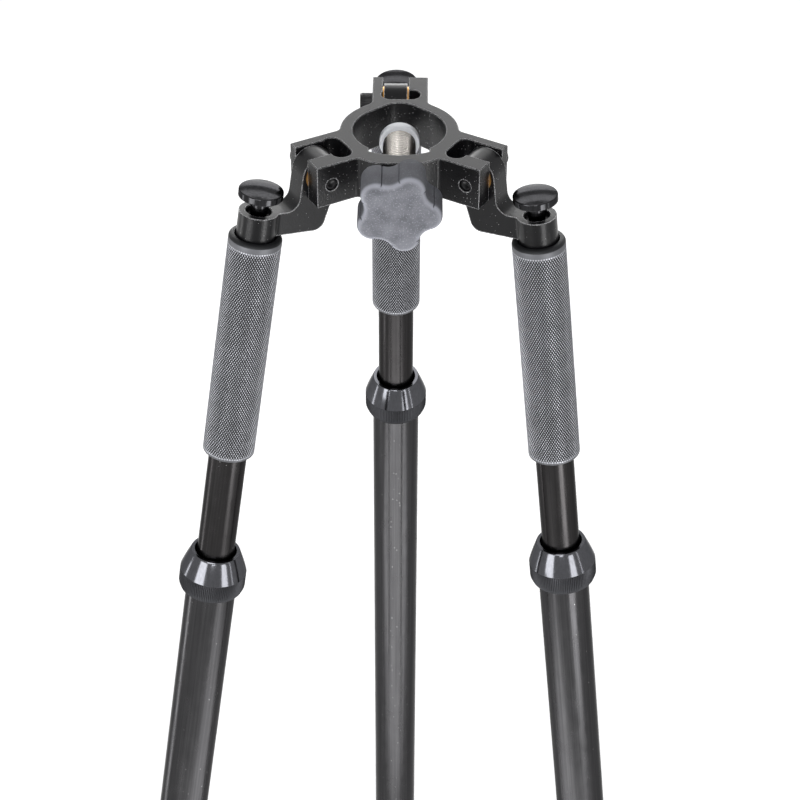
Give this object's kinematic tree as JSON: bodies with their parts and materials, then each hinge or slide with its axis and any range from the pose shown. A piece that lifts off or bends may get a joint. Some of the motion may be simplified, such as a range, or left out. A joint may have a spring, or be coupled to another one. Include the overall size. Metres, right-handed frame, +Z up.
{
  "type": "surveyor tripod",
  "caption": "Tripod with an open V clamp that holds a survey pole upright, on folding telescopic legs with thumb release buttons, knurled grips, twist collars and spiked feet.",
  "frame": {"origin": "on the ground, plumb below the axis of the pole opening", "axes": "+Z up along the pole axis, +X to the right, the clamp knob faces -Y and one leg points along +Y"},
  "size_m": [0.4908, 0.4156, 1.1532],
  "materials": {
    "head_black": "bead-blasted black anodised aluminium, worn bright at the edges",
    "arm_black": "satin black anodised aluminium",
    "button_black": "glossy black",
    "steel_bright": "bright nickel-plated steel",
    "steel_black": "black oxide steel",
    "brass": "turned brass",
    "pad_white": "white nylon",
    "knob_grey": "fine-textured grey plastic",
    "grip_grey": "diamond-knurled grey aluminium",
    "tube_black": "satin black anodised aluminium tube",
    "tube_grey": "satin dark grey anodised aluminium tube",
    "collar_gunmetal": "polished dark cone with a knurled band",
    "collet_nylon": "black nylon",
    "spring_steel": "spring steel",
    "foot_metal": "cast aluminium, painted dark grey",
    "point_steel": "hardened steel"
  },
  "bodies": {
    "head_body": {"head": "head_black", "hinge_bolt_back": "steel_black", "hinge_washers_back": "brass", "hinge_bolt_left": "steel_black", "hinge_washers_left": "brass", "hinge_bolt_right": "steel_black", "hinge_washers_right": "brass"},
    "clamp_pad_body": {"clamp_pad": "pad_white"},
    "clamp_screw_body": {"clamp_screw": "steel_bright", "clamp_knob": "knob_grey"},
    "upper_leg_back": {"leg_arm_back": "arm_black", "stem_retainer_back": "steel_black", "release_spring_back": "spring_steel", "inner_tube_back": "tube_black", "tube_screws_back": "steel_black", "grip_back": "grip_grey", "lock_plug_back": "foot_metal"},
    "button_body_back": {"release_button_back": "button_black", "release_rod_back": "steel_bright"},
    "lock_shoe_body_back": {"lock_shoe_back": "brass"},
    "lower_leg_back": {"outer_tube_back": "tube_grey", "foot_back": "foot_metal", "foot_point_back": "point_steel", "foot_screws_back": "steel_black"},
    "collet_body_back": {"collet_back": "collet_nylon"},
    "collar_body_back": {"lock_collar_back": "collar_gunmetal"},
    "upper_leg_left": {"leg_arm_left": "arm_black", "stem_retainer_left": "steel_black", "release_spring_left": "spring_steel", "inner_tube_left": "tube_black", "tube_screws_left": "steel_black", "grip_left": "grip_grey", "lock_plug_left": "foot_metal"},
    "button_body_left": {"release_button_left": "button_black", "release_rod_left": "steel_bright"},
    "lock_shoe_body_left": {"lock_shoe_left": "brass"},
    "lower_leg_left": {"outer_tube_left": "tube_grey", "foot_left": "foot_metal", "foot_point_left": "point_steel", "foot_screws_left": "steel_black"},
    "collet_body_left": {"collet_left": "collet_nylon"},
    "collar_body_left": {"lock_collar_left": "collar_gunmetal"},
    "upper_leg_right": {"leg_arm_right": "arm_black", "stem_retainer_right": "steel_black", "release_spring_right": "spring_steel", "inner_tube_right": "tube_black", "tube_screws_right": "steel_black", "grip_right": "grip_grey", "lock_plug_right": "foot_metal"},
    "button_body_right": {"release_button_right": "button_black", "release_rod_right": "steel_bright"},
    "lock_shoe_body_right": {"lock_shoe_right": "brass"},
    "lower_leg_right": {"outer_tube_right": "tube_grey", "foot_right": "foot_metal", "foot_point_right": "point_steel", "foot_screws_right": "steel_black"},
    "collet_body_right": {"collet_right": "collet_nylon"},
    "collar_body_right": {"lock_collar_right": "collar_gunmetal"}
  },
  "joints": [
    {"name": "clamp_pad_slide", "type": "slide", "parent": "head_body", "child": "clamp_pad_body", "axis": [0, 1, 0], "range_m": [-0.031, 0.012]},
    {"name": "clamp_knob_turn", "type": "hinge", "parent": "clamp_pad_body", "child": "clamp_screw_body", "pos_m": [0, 0, 1.12893], "axis": [0, 1, 0], "range_deg": [-5580, 2160]},
    {"name": "leg_fold_back", "type": "hinge", "parent": "head_body", "child": "upper_leg_back", "pos_m": [0, 0.0542, 1.12893], "axis": [1, 0, 0], "range_deg": [-8.8, 33.2]},
    {"name": "release_button_back", "type": "slide", "parent": "upper_leg_back", "child": "button_body_back", "axis": [0, 0.1184, -0.993], "range_m": [0, 0.008], "stiffness_N_per_m": 1200, "springref_m": -0.006, "deforming": ["release_spring_back"]},
    {"name": "lock_shoe_back", "type": "slide", "parent": "upper_leg_back", "child": "lock_shoe_body_back", "axis": [0, -0.0906, -0.9959], "range_m": [0, 0.0083]},
    {"name": "leg_extend_back", "type": "slide", "parent": "upper_leg_back", "child": "lower_leg_back", "axis": [0, 0.1184, -0.993], "range_m": [-0.06801, 0.55199]},
    {"name": "collet_slide_back", "type": "slide", "parent": "lower_leg_back", "child": "collet_body_back", "axis": [0, -0.1184, 0.993], "range_m": [0, 0.00075]},
    {"name": "collar_twist_back", "type": "hinge", "parent": "collet_body_back", "child": "collar_body_back", "pos_m": [-0.00275, 0.11989, 0.87531], "axis": [0, -0.1184, 0.993], "range_deg": [0, 180]},
    {"name": "leg_fold_left", "type": "hinge", "parent": "head_body", "child": "upper_leg_left", "pos_m": [-0.04694, -0.0271, 1.12893], "axis": [-0.5, 0.866, 0], "range_deg": [-11.09, 30.91]},
    {"name": "release_button_left", "type": "slide", "parent": "upper_leg_left", "child": "button_body_left", "axis": [-0.1368, -0.079, -0.9874], "range_m": [0, 0.008], "stiffness_N_per_m": 1200, "springref_m": -0.006, "deforming": ["release_spring_left"]},
    {"name": "lock_shoe_left", "type": "slide", "parent": "upper_leg_left", "child": "lock_shoe_body_left", "axis": [0.044, 0.0254, -0.9987], "range_m": [0, 0.0083]},
    {"name": "leg_extend_left", "type": "slide", "parent": "upper_leg_left", "child": "lower_leg_left", "axis": [-0.1368, -0.079, -0.9874], "range_m": [-0.0758, 0.5442]},
    {"name": "collet_slide_left", "type": "slide", "parent": "lower_leg_left", "child": "collet_body_left", "axis": [0.1368, 0.079, 0.9874], "range_m": [0, 0.00075]},
    {"name": "collar_twist_left", "type": "hinge", "parent": "collet_body_left", "child": "collar_body_left", "pos_m": [-0.115, -0.06322, 0.87045], "axis": [0.1368, 0.079, 0.9874], "range_deg": [0, 180]},
    {"name": "leg_fold_right", "type": "hinge", "parent": "head_body", "child": "upper_leg_right", "pos_m": [0.04694, -0.0271, 1.12893], "axis": [-0.5, -0.866, 0], "range_deg": [-8.62, 33.38]},
    {"name": "release_button_right", "type": "slide", "parent": "upper_leg_right", "child": "button_body_right", "axis": [0.0998, -0.0576, -0.9933], "range_m": [0, 0.008], "stiffness_N_per_m": 1200, "springref_m": -0.006, "deforming": ["release_spring_right"]},
    {"name": "lock_shoe_right", "type": "slide", "parent": "upper_leg_right", "child": "lock_shoe_body_right", "axis": [-0.0812, 0.0469, -0.9956], "range_m": [0, 0.0083]},
    {"name": "leg_extend_right", "type": "slide", "parent": "upper_leg_right", "child": "lower_leg_right", "axis": [0.0998, -0.0576, -0.9933], "range_m": [-0.06748, 0.55252]},
    {"name": "collet_slide_right", "type": "slide", "parent": "lower_leg_right", "child": "collet_body_right", "axis": [-0.0998, 0.0576, 0.9933], "range_m": [0, 0.00075]},
    {"name": "collar_twist_right", "type": "hinge", "parent": "collet_body_right", "child": "collar_body_right", "pos_m": [0.10446, -0.05714, 0.87563], "axis": [-0.0998, 0.0576, 0.9933], "range_deg": [0, 180]}
  ],
  "couplings": [
    {"joint": "clamp_knob_turn", "follows": "clamp_pad_slide", "rad_per_m": 3141.6},
    {"joint": "lock_shoe_back", "follows": "release_button_back", "ratio": 1.0223},
    {"joint": "collar_twist_back", "follows": "collet_slide_back", "rad_per_m": 4188.8},
    {"joint": "lock_shoe_left", "follows": "release_button_left", "ratio": 1.0223},
    {"joint": "collar_twist_left", "follows": "collet_slide_left", "rad_per_m": 4188.8},
    {"joint": "lock_shoe_right", "follows": "release_button_right", "ratio": 1.0223},
    {"joint": "collar_twist_right", "follows": "collet_slide_right", "rad_per_m": 4188.8}
  ]
}
